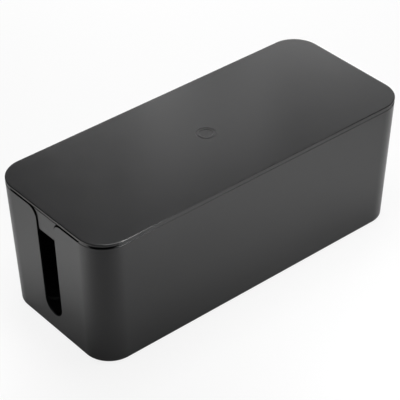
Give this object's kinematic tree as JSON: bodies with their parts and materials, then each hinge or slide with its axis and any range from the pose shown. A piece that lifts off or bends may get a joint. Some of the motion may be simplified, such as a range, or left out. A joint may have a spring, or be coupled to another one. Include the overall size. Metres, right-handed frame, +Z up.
{
  "type": "cable management box",
  "caption": "Long rounded plastic box with leaning walls, a lift-off lid and an open-topped cable notch in each end, for hiding a power strip and its spare cable.",
  "frame": {"origin": "on the ground under the middle of the box", "axes": "+X along the length, from one cable notch to the other; +Y towards the rear long wall; +Z up, through the lid"},
  "size_m": [0.4, 0.1676, 0.15],
  "materials": {
    "body_plastic": "satin, finely textured moulded black plastic",
    "lid_plastic": "satin, finely textured moulded black plastic",
    "foot_rubber": "matt black rubber"
  },
  "bodies": {
    "box": {"box_body": "body_plastic", "foot_front_left": "foot_rubber", "foot_front_right": "foot_rubber", "foot_rear_left": "foot_rubber", "foot_rear_right": "foot_rubber"},
    "lid": {"lid": "lid_plastic"}
  },
  "joints": [
    {"name": "lid_lift", "type": "slide", "parent": "box", "child": "lid", "axis": [0, 0, 1], "range_m": [0, 0.16]}
  ]
}
